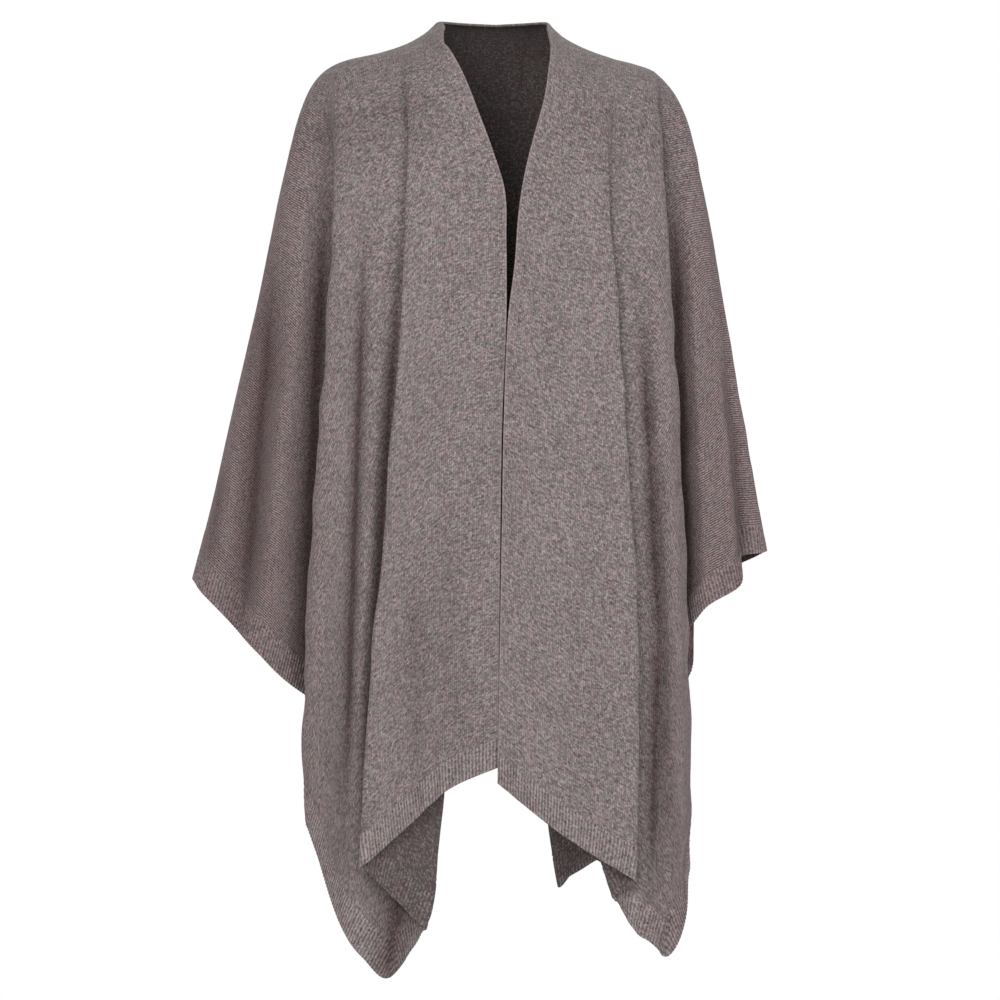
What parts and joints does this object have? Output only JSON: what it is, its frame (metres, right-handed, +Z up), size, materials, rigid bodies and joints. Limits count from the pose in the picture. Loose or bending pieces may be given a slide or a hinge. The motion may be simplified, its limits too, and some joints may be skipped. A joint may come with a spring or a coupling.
{
  "type": "open-front knitted wrap (ruana)",
  "caption": "Open-front ruana wrap in fine heathered knit with ribbed hems and side edges, in the hollow form it takes over the shoulders and arms.",
  "frame": {"origin": "between the wearer's shoulders, at the height where the cloth lies on them", "axes": "+X to the wearer's left, -Y the open front, +Z up"},
  "size_m": [0.6322, 0.2416, 1.0526],
  "materials": {
    "jersey": "matt heathered stockinette, grey-brown with pale and dark flecks",
    "rib": "matt heathered rib in the same yarn"
  },
  "bodies": {
    "root": {"front_right": "jersey", "front_left": "jersey", "back": "jersey", "hem_band_front_right": "rib", "hem_band_front_left": "rib", "hem_band_back": "rib", "side_band_front_right": "rib", "side_band_front_left": "rib", "side_band_back_right": "rib", "side_band_back_left": "rib"}
  },
  "joints": []
}
